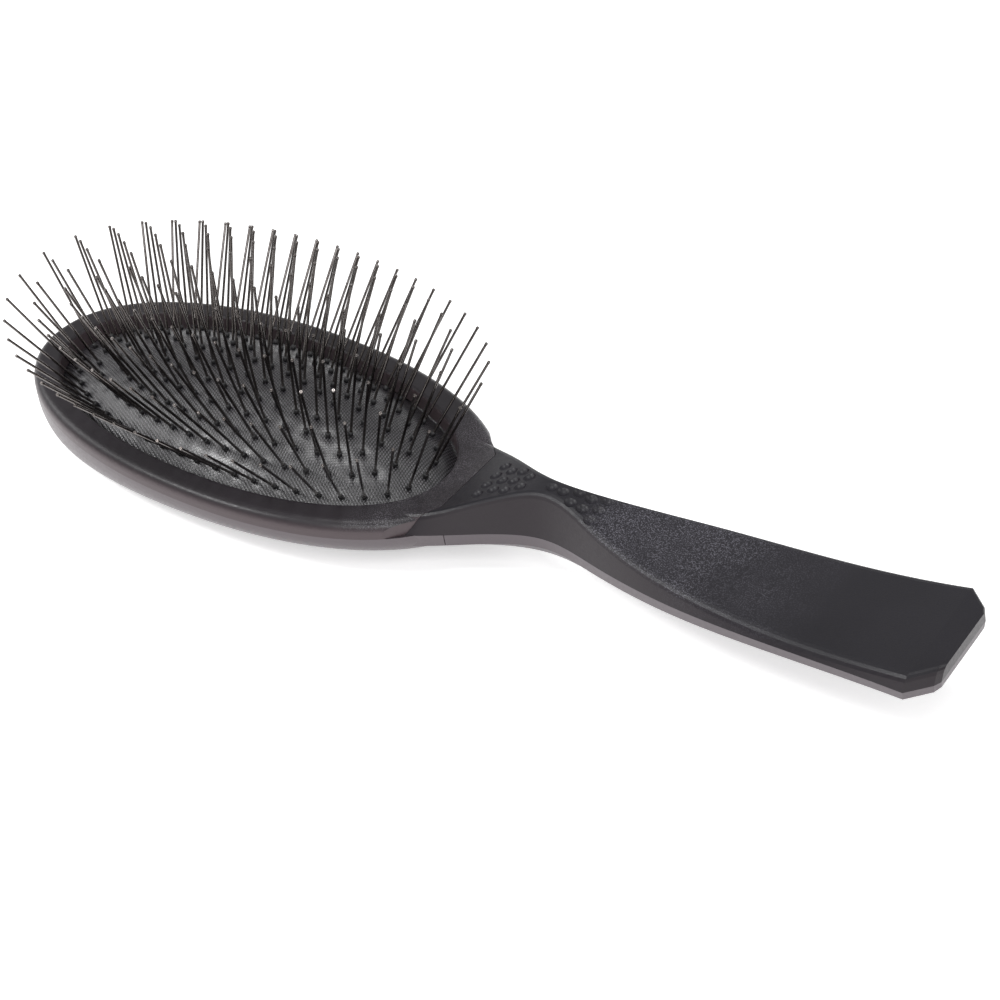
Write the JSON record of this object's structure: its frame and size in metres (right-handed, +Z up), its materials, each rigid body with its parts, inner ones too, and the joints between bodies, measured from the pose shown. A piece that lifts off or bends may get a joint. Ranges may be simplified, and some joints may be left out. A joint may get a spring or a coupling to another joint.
{
  "type": "paddle brush",
  "caption": "Cushioned hairbrush with a long oval head, rings of steel wire pins fanning out of a domed rubber cushion, and a flat tapered grip.",
  "frame": {"origin": "bottom centre of the bounding box: on the surface that the flat of the back rests on, at mid length and mid width", "axes": "+X runs from the head to the handle's end, +Y across the brush, +Z up through the pins"},
  "size_m": [0.24, 0.0808, 0.0494],
  "materials": {
    "hard_plastic": "satin",
    "soft_grip": "soft touch",
    "inner_plastic": "matte",
    "cushion_rubber": "fine woven texture",
    "backing_sheet": "felt",
    "pin_steel": "polished wire"
  },
  "bodies": {
    "brush_body": {"back_shell": "hard_plastic", "front_frame": "hard_plastic", "grip_top": "soft_grip", "grip_bottom": "soft_grip", "seat_ring": "inner_plastic"},
    "pin_field": {"cushion": "cushion_rubber", "pin_backing": "backing_sheet", "pins_middle_row": "pin_steel", "pins_ring1_arc1": "pin_steel", "pins_ring1_arc2": "pin_steel", "pins_ring1_arc3": "pin_steel", "pins_ring1_arc4": "pin_steel", "pins_ring2_arc1": "pin_steel", "pins_ring2_arc2": "pin_steel", "pins_ring2_arc3": "pin_steel", "pins_ring2_arc4": "pin_steel", "pins_ring3_arc1": "pin_steel", "pins_ring3_arc2": "pin_steel", "pins_ring3_arc3": "pin_steel", "pins_ring3_arc4": "pin_steel", "pins_ring4_arc1": "pin_steel", "pins_ring4_arc2": "pin_steel", "pins_ring5_arc1": "pin_steel", "pins_ring5_arc2": "pin_steel"}
  },
  "joints": [
    {"name": "cushion_press", "type": "slide", "parent": "brush_body", "child": "pin_field", "axis": [0, 0, -1], "range_m": [0, 0.0022], "stiffness_N_per_m": 3000, "deforming": ["cushion"]}
  ]
}
